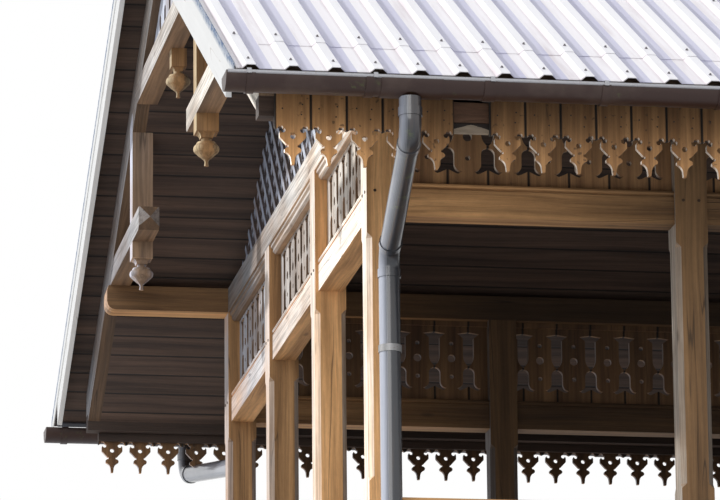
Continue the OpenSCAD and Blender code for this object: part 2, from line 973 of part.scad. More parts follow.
module downpipe() {
    first = pipe_drop - bend_cut - joint;
    middle = norm([pipe_run, slant_drop]) - 2 * (bend_cut + joint);
    last = pipe_mouth[2] - pipe_drop - slant_drop - bend_cut - joint - pipe_foot_z;
    translate([pipe_mouth[0], pipe_mouth[1], pipe_mouth[2] - pipe_drop])
        rotate([0, 0, pipe_turn]) {
            translate([0, 0, bend_cut + joint]) pipe_length(first, [0]);
            elbow(bend_r, bend_cut, 180);
            rotate([0, 90 + slant, 0])
                translate([0, 0, bend_cut + joint]) pipe_length(middle, [0, middle - band_h]);
            elbow(pipe_run - bend_r, -slant_drop - bend_cut, 0);
            translate([pipe_run, 0, pipe_foot_z - pipe_mouth[2] + pipe_drop])
                pipe_length(last, [last - band_h]);
        }
}

module downpipes() {
    color("dimgray") both_sides() downpipe();
}

module pipe_clamps() {
    color("gray")
        both_sides()
            for (z = [pipe_knee[2] - 435, pipe_knee[2] - 2900, 1200])
                translate([pipe_knee[0], pipe_knee[1], z]) {
                    difference() {
                        cylinder(r = pipe_r + 4, h = 30);
                        translate([0, 0, -eps]) cylinder(r = pipe_r + joint, h = 30 + 2 * eps);
                    }
                    translate([-8, pipe_r + 2, 4]) cube([16, pipe_gap - 2, 22]);
                }
}

pad_stones();
side_sills();
end_sills();
lower_joists();
lower_deck();
lower_posts();
lower_transoms();
lower_side_friezes();
lower_end_friezes();
lower_railings();
side_ring_beams();
end_ring_beams();
upper_joists();
upper_deck();
upper_posts();
upper_transoms();
upper_side_friezes();
upper_end_friezes();
upper_railings();
side_plates();
tie_beams();
ceiling_boards();
gable_lattices();
ridge_board();
common_rafters();
near_roof_boards();
far_roof_boards();
roof_battens();
near_roof_sheet();
far_roof_sheet();
ridge_cap();
barge_boards();
verge_flashings();
truss_rafters();
hammer_beams();
hammer_posts();
collars();
king_pendants();
eave_rails();
near_eave_boards();
far_eave_boards();
gutters();
gutter_brackets();
downpipes();
pipe_clamps();
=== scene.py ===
"""Finishes and small details for a two-storey timber veranda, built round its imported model."""

import math

import bpy
from bpy.props import FloatProperty, FloatVectorProperty, PointerProperty
from mathutils import Matrix, Vector


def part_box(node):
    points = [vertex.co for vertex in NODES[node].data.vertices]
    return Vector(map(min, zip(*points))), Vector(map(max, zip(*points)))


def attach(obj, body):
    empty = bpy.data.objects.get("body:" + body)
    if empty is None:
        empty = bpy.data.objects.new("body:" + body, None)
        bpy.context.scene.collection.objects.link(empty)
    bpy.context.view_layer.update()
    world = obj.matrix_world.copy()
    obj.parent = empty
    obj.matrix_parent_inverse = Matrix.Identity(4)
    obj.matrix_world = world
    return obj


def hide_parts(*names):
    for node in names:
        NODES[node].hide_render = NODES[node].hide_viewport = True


bl_info = {
    "name": "Timber Veranda",
    "version": (1, 0, 0),
    "blender": (4, 5, 0),
    "location": "3D View > Sidebar > Veranda",
    "description": "Timber, sheet-metal and stone finishes, with the nails, screws and laps of a veranda",
    "category": "Object",
}

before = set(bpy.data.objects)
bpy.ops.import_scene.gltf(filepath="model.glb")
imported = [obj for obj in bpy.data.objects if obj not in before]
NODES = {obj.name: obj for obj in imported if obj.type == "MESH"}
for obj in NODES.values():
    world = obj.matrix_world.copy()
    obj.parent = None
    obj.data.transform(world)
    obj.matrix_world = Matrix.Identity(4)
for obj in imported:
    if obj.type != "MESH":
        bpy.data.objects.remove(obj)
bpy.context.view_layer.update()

# Plan of the timber frame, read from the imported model
HALF_LEN, HALF_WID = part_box("upper_posts")[1][:2]
POST = HALF_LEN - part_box("upper_side_friezes")[1].x
SIDE_BAYS = 4
END_BAYS = 3
SIDE_BAY = (2 * HALF_LEN - POST) / SIDE_BAYS
END_BAY = (2 * HALF_WID - POST) / END_BAYS
POST_X = HALF_LEN - POST / 2
POST_Y = HALF_WID - POST / 2

# Levels
TRANSOM_LOW, TRANSOM_HIGH = (corner.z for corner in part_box("upper_transoms"))
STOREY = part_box("upper_deck")[0].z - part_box("lower_deck")[0].z
PLATE_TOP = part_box("side_plates")[1].z
EAVE_BATTEN_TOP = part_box("eave_rails")[0].z + 0.041
PIPE_BEND = 5.25

# Roof slope and its ribbed sheet; crest and foot of a rib are half its width there
PITCH = math.radians(28.3)
RIB_PITCH = 0.172
RIB_HEIGHT = 0.02
RIB_CREST = 0.019
RIB_FOOT = 0.037
SHEET = 0.003
RIBS = 40
FIRST_RIB = 0.06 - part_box("near_roof_sheet")[1].x
EAVE_Y = -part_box("near_roof_sheet")[0].y - RIB_HEIGHT * math.sin(PITCH)
EAVE_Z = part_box("near_roof_sheet")[0].z

# Boards
FRET_PITCH = 0.1755
SIDE_SHIFT = -0.026
EAVE_PITCH = 0.147
EAVE_BOARDS = 44
MISSING_BOARD = 5
EAVE_BOARD_X, _, EAVE_BOARD_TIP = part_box("far_eave_boards")[0]
EAVE_BOARD_FACE = -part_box("near_eave_boards")[0].y
EAVE_BOARD_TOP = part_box("near_eave_boards")[1].z
SLOPE_BOARD = 0.1505
DECK_BOARD = 0.125
BOARD_JOINT = 0.008

# Colours of age and dirt, and one of painted shade in a gap
CHECK = (0.03, 0.019, 0.012)
KNOT = (0.06, 0.03, 0.016)
OPEN_JOINT = (0.008, 0.006, 0.005)
DUST_SPECK = (0.035, 0.022, 0.014)
GAP_SHADE = (0.012, 0.01, 0.009)
BARE_RAIL = (0.2, 0.1, 0.055)
BARE_BATTEN = (0.42, 0.33, 0.24)
SHEET_RUST = (0.3, 0.17, 0.1)
SMALL_RUST = (0.16, 0.07, 0.035)
GUTTER_MOSS = (0.09, 0.13, 0.03)
STONE_MOSS = (0.13, 0.15, 0.07)
PAINT_CRACK = (0.36, 0.31, 0.26)

HALF_TURN = Matrix.Rotation(math.pi, 4, "Z")
PHOTO_WIDTH = 720
SENSOR = 36.0


def maths(operation):
    """A method of Sum that adds one Math node."""

    def method(first, *others):
        values = dict(enumerate((first, *others)))
        return first.finish.node("ShaderNodeMath", {"operation": operation}, values)

    return method


class Sum:
    """A socket of a material's nodes that takes part in ordinary sums."""

    __add__ = __radd__ = maths("ADD")
    __sub__ = maths("SUBTRACT")
    __mul__ = __rmul__ = maths("MULTIPLY")
    __truediv__ = maths("DIVIDE")
    __mod__ = maths("FLOORED_MODULO")
    __gt__ = maths("GREATER_THAN")
    __lt__ = maths("LESS_THAN")
    __abs__ = maths("ABSOLUTE")
    floor = maths("FLOOR")
    smaller = maths("MINIMUM")
    larger = maths("MAXIMUM")

    def __init__(self, finish, socket):
        self.finish = finish
        self.socket = socket

    def __rsub__(self, other):
        return self.finish.node("ShaderNodeMath", {"operation": "SUBTRACT"}, {0: other, 1: self})

    def ramp(self, low, high):
        """0 below low, 1 above high and even between; low may be the greater."""
        return self.finish.node("ShaderNodeMapRange", {"clamp": True},
                                {"Value": self, "From Min": low, "From Max": high})


class Nodes:
    """The nodes of a material or of the surroundings, made one at a time."""

    def __init__(self, owner):
        owner.use_nodes = True
        self.tree = owner.node_tree
        self.tree.nodes.clear()

    def node(self, kind, settings, sockets, output=None):
        """Adds a node, sets it up, fills its sockets and gives back one of its outputs."""
        made = self.tree.nodes.new(kind)
        for key, value in settings.items():
            setattr(made, key, value)
        for key, value in sockets.items():
            socket = made.inputs[key] if isinstance(key, int) else self.find(made.inputs, key)
            if isinstance(value, Sum):
                self.tree.links.new(value.socket, socket)
            else:
                socket.default_value = value
        return Sum(self, self.find(made.outputs, output))

    @staticmethod
    def find(sockets, name):
        """The first socket in use, or the first in use with a name."""
        return next(s for s in sockets if s.enabled and name in (None, s.name))

    def end(self, kind, shader):
        """Adds the output node and leads a shader to its surface."""
        self.tree.links.new(shader.socket, self.tree.nodes.new(kind).inputs["Surface"])


class Finish(Nodes):
    """A material under way, with the place of the point that is being coloured."""

    def __init__(self, name):
        self.material = bpy.data.materials.new(name)
        super().__init__(self.material)
        self.place = self.node("ShaderNodeTexCoord", {}, {}, "Object")
        self.x, self.y, self.z = self.parts(self.place)

    def parts(self, vector):
        """The three numbers of a vector."""
        split = self.node("ShaderNodeSeparateXYZ", {}, {"Vector": vector})
        outputs = split.socket.node.outputs
        return [Sum(self, outputs[axis]) for axis in "XYZ"]

    def vector(self, x, y, z):
        return self.node("ShaderNodeCombineXYZ", {}, {"X": x, "Y": y, "Z": z})

    def facing(self):
        """The three parts of the surface's own direction."""
        return self.parts(self.node("ShaderNodeNewGeometry", {}, {}, "True Normal"))

    def noise(self, vector, scale, detail=2.0, roughness=0.5):
        return self.node("ShaderNodeTexNoise", {},
                         {"Vector": vector, "Scale": scale, "Detail": detail, "Roughness": roughness})

    def stretched(self, x, y, z, detail=2.0, roughness=0.5):
        """Noise that is fine along a direction where its number grows fast."""
        return self.noise(self.vector(x, y, z), 1.0, detail, roughness)

    def cells(self, vector, scale):
        """Distance from the nearest of many scattered points."""
        return self.node("ShaderNodeTexVoronoi", {}, {"Vector": vector, "Scale": scale}, "Distance")

    def chance(self, a, b):
        """A random number from 0 to 1 for each pair of whole numbers."""
        return self.node("ShaderNodeTexWhiteNoise", {"noise_dimensions": "2D"},
                         {"Vector": self.vector(a, b, 0)}, "Value")

    def blend(self, a, b, factor, mode="MIX"):
        """Colour a, with colour b laid over it where the factor is 1."""
        a, b = (value if isinstance(value, Sum) else (*value, 1) for value in (a, b))
        return self.node("ShaderNodeMix", {"data_type": "RGBA", "blend_type": mode},
                         {"Factor": factor, "A": a, "B": b})

    def tinted(self, colour, cast):
        """A colour multiplied by another."""
        return self.blend(colour, cast, 1.0, "MULTIPLY")

    def shade(self, colour, amount):
        """A colour made lighter or darker by a number about 1."""
        return self.node("ShaderNodeVectorMath", {"operation": "SCALE"}, {0: colour, "Scale": amount})

    def surface(self, colour, roughness, bumps=None, metallic=0.0, coat=0.0, coat_roughness=0.2,
                specular=0.5):
        """Leads the nodes to a shader; bumps are a height, its depth in metres and a strength."""
        sockets = {"Base Color": colour, "Roughness": roughness, "Metallic": metallic,
                   "Coat Weight": coat, "Coat Roughness": coat_roughness,
                   "Specular IOR Level": specular}
        if bumps:
            names = ("Height", "Distance", "Strength")
            sockets["Normal"] = self.node("ShaderNodeBump", {}, dict(zip(names, bumps)))
        self.end("ShaderNodeOutputMaterial", self.node("ShaderNodeBsdfPrincipled", {}, sockets))
        return self.material


def side_of(place):
    """-1 on the near side of the middle and 1 beyond it."""
    return (place > 0) * 2 - 1


def end_wall(finish):
    """1 on what stands in the end walls, 0 elsewhere."""
    return abs(finish.x) > HALF_LEN - POST + 0.004


def beyond_middle(finish):
    """How far a point of a gable is from its middle, towards the half that the sun leaves first."""
    return finish.y * side_of(finish.x) * -1


def looks_in(finish):
    """1 on the faces that look into the building, 0 on the others."""
    nx, ny, _ = finish.facing()
    return (nx * side_of(finish.x) < -0.4).larger(ny * side_of(finish.y) < -0.4)


def off_slope(finish):
    """How high a point is, measured square to the roof slope on its side."""
    return abs(finish.y) * math.sin(PITCH) + finish.z * math.cos(PITCH)


def grain_along(finish, way):
    """Three numbers for a point of a timber: along its grain, then two across it."""
    x, y, z = finish.x, finish.y, finish.z
    straight = {"x": (x, y, z), "y": (y, x, z), "z": (z, x, y)}
    if way in straight:
        return straight[way]
    if way == "slope":
        return abs(y) * math.cos(PITCH) - z * math.sin(PITCH), x, off_slope(finish)
    ends = end_wall(finish)
    return y * ends + x * (1 - ends), x * ends + y * (1 - ends), z


class Wood(Finish):
    """A timber's material under way, with the noises that follow its grain."""

    def __init__(self, name, way):
        super().__init__(name)
        self.along, self.side, self.rise = grain_along(self, way)
        bend = self.grain(0.9, 3) * 0.06
        self.side = self.side + bend
        self.rise = self.rise - bend
        self.streak = self.grain(0.7, 16, 3.0, 0.6)
        self.fibre = self.grain(6, 190, 2.0, 0.65)
        self.blotch = self.grain(1.3, 2.2, 4.0, 0.62)
        self.speck = self.grain(22, 60, 4.0, 0.75)
        self.furrow = self.grain(1.7, 75, 2.0, 0.6).ramp(0.36, 0.58)

    def spread(self, along, across):
        """The point's place, stretched along and across the grain."""
        return self.vector(self.along * along, self.side * across, self.rise * across)

    def grain(self, along, across, detail=2.0, roughness=0.5, scale=1.0):
        """Noise that is long along the grain and fine across it."""
        return self.noise(self.spread(along, across), scale, detail, roughness)

    def brown(self, dark, light):
        """Wood as it is under cover, with light streaks and dark furrows."""
        colour = self.blend(dark, light, self.streak.ramp(0.3, 0.7))
        mottle = 0.5 + 0.42 * self.blotch + 0.36 * self.fibre + 0.42 * self.speck
        return self.shade(colour, mottle * (0.86 + 0.24 * self.furrow))

    def greyed(self, colour, grey, sunned, silver):
        """Greys the faces that look along the building by sunned, and all by silver, with painted light on
        one half of each gable and painted bluish shade on the other.
        """
        facing_along = abs(self.facing()[0]).ramp(0.35, 0.85)
        amount = (facing_along * sunned + silver) * self.blotch.ramp(0.15, 0.62).larger(0.35)
        mottle = 0.5 + 0.4 * self.streak + 0.4 * self.fibre + 0.35 * self.speck
        grey_wood = self.shade(grey, mottle * (0.55 + 0.45 * self.furrow))
        # Painted light on one half of each gable, painted bluish shade on the other.
        shaded = beyond_middle(self).ramp(-1.6, 1.6)
        cast = self.blend((1.38, 1.38, 1.36), (0.48, 0.52, 0.62), shaded)
        return self.blend(colour, self.tinted(grey_wood, cast), amount)

    def checks(self):
        """1 on the fine checks that open along the grain, in some stretches only."""
        line = abs(self.grain(0.5, 19, 1.0) - 0.5).ramp(0.009, 0.002)
        return line * self.grain(1.1, 5, 1.0, scale=1.7).ramp(0.48, 0.6)


def board_joints(across, pitch):
    """The number of the board that a point is on, and 1 along the joints between boards."""
    place = across / pitch
    from_joint = (0.5 - abs(place % 1 - 0.5)) * pitch
    return place.floor(), from_joint.ramp(0.9 * BOARD_JOINT, 0.4 * BOARD_JOINT)


def timber(name, kind, way, grey="silver", boards=None, silver=0.0, sunned=0.55, cracks=1.0, knots=0.5,
           inner_shade=0.5, weather_and_light=None):
    """Old timber with streaks, checks and knots; boards are a row's start, pitch and change of tone."""
    tints = bpy.context.scene.veranda_timbers
    dark, light, grey = (getattr(tints, name) for name in (kind + "_dark", kind + "_light", grey))
    wood = Wood(name, way)
    colour = wood.greyed(wood.brown(dark, light), grey, sunned, silver)
    check = wood.checks() * cracks
    colour = wood.blend(colour, CHECK, check * 0.6)
    knot = wood.cells(wood.spread(2.1, 6), 1.0).ramp(0.1, 0.04)
    colour = wood.blend(colour, KNOT, knot * knots)
    height = wood.fibre * 0.4 + wood.speck * 0.4 + wood.streak * 0.5 + wood.furrow * 0.6 - check * 1.2
    if boards:
        across, pitch, change = boards
        number, joint = board_joints(across(wood), pitch)
        tone = wood.chance(number, end_wall(wood) + (wood.y > 0) * 2)
        colour = wood.shade(colour, 1 - change + 2 * change * tone)
        colour = wood.blend(colour, OPEN_JOINT, joint * 0.95)
        height = height - joint * 4
    # The callback adds weathering and, in most uses, painted light and shade.
    if weather_and_light:
        colour = weather_and_light(wood, colour)
    # Painted shade on the faces that look into the building.
    colour = wood.shade(colour, 1 - inner_shade * looks_in(wood))
    return wood.surface(colour, 0.72 + 0.2 * wood.fibre, (height, 0.0025, 0.55))


def across_deck(finish):
    return finish.y


def down_soffit(finish):
    return (HALF_WID - abs(finish.y)) / math.cos(PITCH)


def along_eave(finish):
    return finish.x - EAVE_BOARD_X


def along_side_bay(finish):
    """Distance of a point of a side wall from the middle of its bay's boards."""
    return (finish.x + POST_X) % SIDE_BAY - SIDE_BAY / 2 - SIDE_SHIFT


def along_end_bay(finish):
    """Distance of a point of an end wall from the middle of its bay."""
    return (finish.y + POST_Y) % END_BAY - END_BAY / 2


def gutter_shade_and_dust(finish, colour):
    """Boards under the eave, darker at the top and paler at the tips, partly weathering and partly painted
    shade under the gutter, with painted light towards the corners and dusty specks.
    """
    high = finish.z.ramp(EAVE_BOARD_TIP + 0.05, EAVE_BOARD_TIP + 0.3)
    corner = abs(finish.x).ramp(2.6, 3.2)
    # Painted shade at the tops under the gutter and painted light towards the corners.
    colour = finish.shade(colour, (1.6 - 0.95 * high) * (0.82 + 0.76 * corner))
    speck = finish.noise(finish.place, 46, 1.0).ramp(0.68, 0.75)
    return finish.blend(colour, DUST_SPECK, speck * 0.6)


def lit_corners(finish, colour):
    """Beams and posts, with painted light towards the corners of the building and painted shade between
    them.
    """
    return finish.shade(colour, 0.45 + 1.12 * abs(finish.x).ramp(1.35, 2.3))


def shaded_top(finish, colour):
    """Frieze boards, with painted shade near the beam above and painted light lower down."""
    height = (finish.z - TRANSOM_HIGH) % STOREY
    return finish.shade(colour, 1.42 - 0.48 * height.ramp(0.08, 0.3))


def warm_drops(finish, colour):
    """Hammer posts and their drops, warm on one half of each gable and pale bluish on the other, which is
    painted light and shade, not a colour of the wood.
    """
    shaded = beyond_middle(finish).ramp(0.4, 1.2)
    return finish.tinted(colour, finish.blend((1.0, 0.85, 0.58), (2.0, 2.25, 2.7), shaded))


def lit_end_half(finish, colour):
    """Beams of the end walls, with painted sunlight on one half of each gable and painted shade on the
    other.
    """
    return finish.shade(colour, 1.7 - 1.2 * beyond_middle(finish).ramp(-1.7, 1.7))


def paler_end_half(finish, colour):
    """Frieze boards of the end walls, paler and bluer on one half of each gable: painted light over the
    painted shade that greyed gives there.
    """
    # Painted light on the half of each gable that greyed shades.
    dust_and_painted_light = beyond_middle(finish).ramp(0.5, 1.2)
    return finish.tinted(colour, finish.blend((1, 1, 1), (1.3, 1.4, 1.5), dust_and_painted_light))


def bare_gap(finish, colour):
    """Rail and waney batten behind the eave boards, bleached where one board is missing, with painted
    shade in the gap above the batten's waney edge.
    """
    middle = EAVE_BOARD_X + (MISSING_BOARD + 0.5) * EAVE_PITCH
    off_middle = abs(finish.x - middle)
    bare = (off_middle < EAVE_PITCH / 2) * (finish.y < -HALF_WID)
    grain = finish.stretched(finish.x * 9, finish.y, finish.z * 60, 4.0, 0.7)
    waney_edge = EAVE_BATTEN_TOP - 0.02 * off_middle / (EAVE_PITCH / 2) - 0.012 * grain
    colour = finish.blend(colour, finish.shade(BARE_RAIL, 0.2 + 1.3 * grain), bare * 0.75)
    # Painted shade in the gap between the rail and the batten.
    colour = finish.blend(colour, GAP_SHADE, bare * (finish.z < EAVE_BATTEN_TOP) * 0.9)
    batten = finish.shade(BARE_BATTEN, 0.3 + grain)
    return finish.blend(colour, batten, bare * (finish.z < waney_edge))


def ribbed_sheet(tints):
    """Faded coated sheet: chalky crests, water stains down the slope, dirt along the ribs and a painted
    shadow on one side of each rib.
    """
    finish = Finish("faded_sheet")
    down = abs(finish.y) / math.cos(PITCH)
    rib = (finish.x - FIRST_RIB + RIB_PITCH / 2) % RIB_PITCH - RIB_PITCH / 2
    from_rib = abs(rib)
    stain = finish.stretched(finish.x * 14, down * 0.9, 0, 4.0, 0.6)
    patch = finish.stretched(finish.x * 1.1, down * 1.3, 3, 3.0, 0.6)
    fine = finish.stretched(finish.x * 60, down * 60, 7, 2.0, 0.7)
    crest = from_rib.ramp(RIB_CREST + 0.004, RIB_CREST - 0.002)
    foot = abs(from_rib - RIB_FOOT).ramp(0.014, 0.0)
    # Painted shadow on the pan beside each rib, on the side away from the key lamp.
    shadow = (rib > RIB_CREST) * rib.ramp(0.1, 0.082)
    rust = finish.stretched(finish.x * 7, down * 5, 1, 5.0, 0.7).ramp(0.72, 0.8)
    colour = finish.blend(tints.sheet_pan, tints.sheet_crest, crest)
    colour = finish.blend(colour, tints.sheet_stain, stain.ramp(0.5, 0.78) * (1 - crest * 0.7) * 0.55)
    colour = finish.blend(colour, tints.sheet_stain, foot * (0.2 + 0.4 * patch))
    colour = finish.blend(colour, tints.sheet_shadow, shadow * (0.55 + 0.35 * stain))
    colour = finish.shade(colour, 0.93 + 0.09 * patch + 0.05 * fine)
    colour = finish.blend(colour, SHEET_RUST, rust * 0.35)
    height = patch * 2 + finish.noise(finish.place, 210) * 0.15
    return finish.surface(colour, 0.42 + 0.22 * stain + 0.1 * rust, (height, 0.004, 0.25), coat=0.12)


def coated_metal(name, base, dust_and_painted_light, sheen=0.05, streaks=5.0, reflection=None):
    """Dark coated metal, dusty, with run marks and a little moss, and a painted reflection on the side of
    the sun where a colour for it is given.
    """
    finish = Finish(name)
    marks = finish.stretched(finish.x * streaks, finish.y * 9, finish.z * 2.2, 5.0, 0.65)
    cloud = finish.noise(finish.place, 3.2, 4.0, 0.6)
    grit = finish.noise(finish.place, 240, 2.0, 0.7)
    facing_x, _, facing_z = finish.facing()
    colour = finish.blend(base, dust_and_painted_light, marks.ramp(0.48, 0.74) * 0.5 + facing_z.ramp(0.1, 0.9) * 0.35)
    colour = finish.shade(colour, 0.8 + 0.25 * cloud + 0.2 * grit)
    moss = finish.noise(finish.place, 12, 5.0, 0.7).ramp(0.6, 0.68) * facing_z.ramp(-0.2, -0.8)
    colour = finish.blend(colour, GUTTER_MOSS, moss * 0.6)
    if reflection:
        # Painted reflection on the side towards the key lamp, stronger below the bend.
        sunned = facing_x.ramp(-0.3, -0.75) * (0.5 + 0.5 * marks)
        below_bend = finish.z.ramp(PIPE_BEND + 0.05, PIPE_BEND - 0.05)
        colour = finish.blend(colour, reflection, sunned * (0.6 + 0.4 * below_bend))
    roughness = 0.24 + 0.22 * marks + 0.12 * grit
    bumps = (cloud * 3 + grit * 0.12, 0.003, 0.2)
    return finish.surface(colour, roughness, bumps, coat=sheen, coat_roughness=0.1)


def zinc_flashing(base, paint):
    """White-painted flashing, dark blue-grey in flakes along the upper edge."""
    finish = Finish("blue_flashing")
    cloud = finish.noise(finish.place, 9, 5.0, 0.65)
    flake = finish.noise(finish.place, 34, 4.0, 0.7).ramp(0.5, 0.56)
    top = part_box("verge_flashings")[1].z * math.cos(PITCH)
    edge = off_slope(finish).ramp(top - 0.042, top - 0.014)
    colour = finish.shade(paint, 0.9 + 0.12 * cloud)
    colour = finish.blend(colour, base, (edge * (0.6 + 0.6 * flake)).smaller(1))
    return finish.surface(colour, 0.5 + 0.25 * cloud, (cloud + flake * 0.5, 0.002, 0.4), specular=0.1)


def barge_paint(base):
    """White paint on boards, thin along the grain and worn at its cracks."""
    finish = Finish("old_white_paint")
    down, side, rise = grain_along(finish, "slope")
    grain = finish.stretched(down * 2, side * 60, rise * 60, 3.0, 0.6)
    cloud = finish.noise(finish.place, 4, 4.0, 0.6)
    lines = finish.stretched(down * 0.8, side * 14, rise * 14, 1.0)
    crack = abs(lines - 0.5).ramp(0.008, 0.002) * cloud.ramp(0.45, 0.6)
    colour = finish.shade(base, 0.86 + 0.12 * grain + 0.1 * cloud)
    colour = finish.blend(colour, PAINT_CRACK, crack * 0.8)
    return finish.surface(colour, 0.5 + 0.2 * grain, (grain * 0.4 - crack, 0.002, 0.5), specular=0.1)


def rough_stone(base):
    """Rough grey stone, mottled and pitted, and mossy near the ground."""
    finish = Finish("pad_stone")
    cloud = finish.noise(finish.place, 5, 6.0, 0.65)
    grit = finish.noise(finish.place, 90, 4.0, 0.7)
    pits = finish.cells(finish.place, 55.0)
    colour = finish.shade(base, 0.55 + 0.5 * cloud + 0.35 * grit)
    moss = finish.z.ramp(0.16, 0.0) * cloud.ramp(0.45, 0.62)
    colour = finish.blend(colour, STONE_MOSS, moss * 0.6)
    return finish.surface(colour, 0.88, (cloud * 2 + grit + pits * 0.7, 0.006, 0.8))


def small_metal(name, base, roughness, metallic):
    """Dull metal of nails, screws and clips, mottled with rust."""
    finish = Finish(name)
    mottle = finish.noise(finish.place, 160, 3.0, 0.7)
    colour = finish.shade(base, 0.6 + 0.8 * mottle)
    colour = finish.blend(colour, SMALL_RUST, mottle.ramp(0.56, 0.68) * 0.5)
    return finish.surface(colour, roughness + 0.2 * mottle, (mottle, 0.0008, 0.4), metallic=metallic)


def end_grain(base):
    """Cut end of a peg, mottled by its rings."""
    finish = Finish("peg_end_grain")
    rings = finish.noise(finish.place, 220)
    return finish.surface(finish.shade(base, 0.6 + 0.7 * rings), 0.9, (rings, 0.001, 0.6))


def only(piece):
    """Leaves one piece selected and active."""
    bpy.ops.object.select_all(action="DESELECT")
    piece.select_set(True)
    bpy.context.view_layer.objects.active = piece


def start(name, kind, **settings):
    """Adds a primitive by itself, with a name."""
    bpy.ops.object.select_all(action="DESELECT")
    getattr(bpy.ops.mesh, "primitive_" + kind + "_add")(**settings)
    piece = bpy.context.active_object
    piece.name = name
    return piece


def pick(piece, test=lambda corner: True):
    """Enters edit mode with those corners selected whose place passes a test, and all between them."""
    only(piece)
    mesh = piece.data
    for corner in mesh.vertices:
        corner.select = test(corner.co)
    for part in (*mesh.edges, *mesh.polygons):
        part.select = all(mesh.vertices[i].select for i in part.vertices)
    bpy.ops.object.mode_set(mode="EDIT")
    bpy.ops.mesh.select_mode(type="VERT")


def cut(piece, place, direction, fill):
    """Cuts off what lies beyond a plane, and closes the cut where it is to be filled."""
    pick(piece)
    bpy.ops.mesh.bisect(plane_co=place, plane_no=direction, clear_outer=True, use_fill=fill)
    bpy.ops.object.mode_set(mode="OBJECT")


def modify(piece, kind, **settings):
    """Adds a modifier and applies it."""
    only(piece)
    modifier = piece.modifiers.new(kind.lower(), kind)
    for key, value in settings.items():
        setattr(modifier, key, value)
    bpy.ops.object.modifier_apply(modifier=modifier.name)


def smooth(piece):
    """Shades a piece smooth, except over its sharp edges."""
    only(piece)
    bpy.ops.object.shade_smooth_by_angle(angle=math.radians(40))


def settle(piece):
    """Puts a piece's place, turn and size into its mesh."""
    only(piece)
    bpy.ops.object.transform_apply(location=True, rotation=True, scale=True)


def join(name, pieces):
    """Makes one piece of several."""
    bpy.ops.object.select_all(action="DESELECT")
    for piece in pieces:
        piece.select_set(True)
    bpy.context.view_layer.objects.active = pieces[0]
    bpy.ops.object.join()
    pieces[0].name = name
    return pieces[0]


def tube(name, radius, run, vertices):
    """Cylinder that lies along the building."""
    piece = start(name, "cylinder", radius=radius, depth=run, vertices=vertices,
                  rotation=(0, math.pi / 2, 0))
    settle(piece)
    return piece


def folded_strip(name, profile, run):
    """Strip folded along a profile of places and heights."""
    (x0, z0), (x1, _) = profile[:2]
    strip = start(name, "plane", size=1, location=((x0 + x1) / 2, run / 2, z0))
    strip.scale = (x1 - x0, run, 1)
    settle(strip)
    last_x, last_z = x1, z0
    pick(strip, lambda corner: corner.x > x1 - 1e-5)
    for x, z in profile[2:]:
        bpy.ops.mesh.extrude_region_move(TRANSFORM_OT_translate={"value": (x - last_x, 0, z - last_z)})
        last_x, last_z = x, z
    bpy.ops.object.mode_set(mode="OBJECT")
    return strip


def spot(x, y, z, quarters=0):
    """A station at a place, turned by quarters about the upright axis."""
    return Matrix.Translation((x, y, z)) @ Matrix.Rotation(quarters * math.pi / 2, 4, "Z")


def set_out(name, pattern, stations):
    """Copies a piece to each station, a turn and a place, and joins the copies."""
    copies = []
    for station in stations:
        copy = pattern.copy()
        copy.data = pattern.data.copy()
        bpy.context.collection.objects.link(copy)
        copy.matrix_world = station @ pattern.matrix_world
        copies.append(copy)
    bpy.data.objects.remove(pattern)
    piece = join(name, copies)
    settle(piece)
    return piece


def side_post_xs():
    return [-POST_X + i * SIDE_BAY for i in range(SIDE_BAYS + 1)]


def end_post_ys():
    return [-POST_Y + j * END_BAY for j in range(END_BAYS + 1)]


def post_places():
    """Where the posts stand, with the corner posts once."""
    sides = [(x, side * POST_Y) for x in side_post_xs() for side in (-1, 1)]
    ends = [(side * POST_X, y) for y in end_post_ys()[1:-1] for side in (-1, 1)]
    return sides + ends


def on_near_slope(x, up, above):
    """A turn and a place on the near slope: x along it, up from the eave, above the sheet's pans."""
    return spot(0, -EAVE_Y, EAVE_Z) @ Matrix.Rotation(PITCH, 4, "X") @ spot(x, up, above)


def rib_places():
    """Where the middles of the roof sheet's ribs run."""
    return [FIRST_RIB + k * RIB_PITCH for k in range(RIBS)]


def complete(piece, material, slot, *replaced):
    """Gives a finished piece its material and the body it rides on; the slot is not used."""
    piece.data.materials.clear()
    piece.data.materials.append(material)
    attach(piece, "root")
    if replaced:
        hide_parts(*replaced)


def cover(material, *names):
    """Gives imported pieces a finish."""
    for name in names:
        NODES[name].material_slots[0].material = material


def finish_of(name):
    """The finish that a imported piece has."""
    return NODES[name].material_slots[0].material


def on_both_halves(name, pattern, stations, material, slot, rounded=False):
    """Sets a piece out at stations and half a turn round from them, and completes it."""
    turned = [HALF_TURN @ station for station in stations]
    piece = set_out(name, pattern, [*stations, *turned])
    if rounded:
        smooth(piece)
    complete(piece, material, slot)


def tint(name, description, default):
    """A colour that the user may change."""
    return FloatVectorProperty(name=name, description=description, subtype="COLOR", size=3,
                               min=0, max=1, default=default)


def length(name, description, default):
    """A size that the user may change."""
    return FloatProperty(name=name, description=description, default=default, min=0,
                         subtype="DISTANCE", unit="LENGTH")


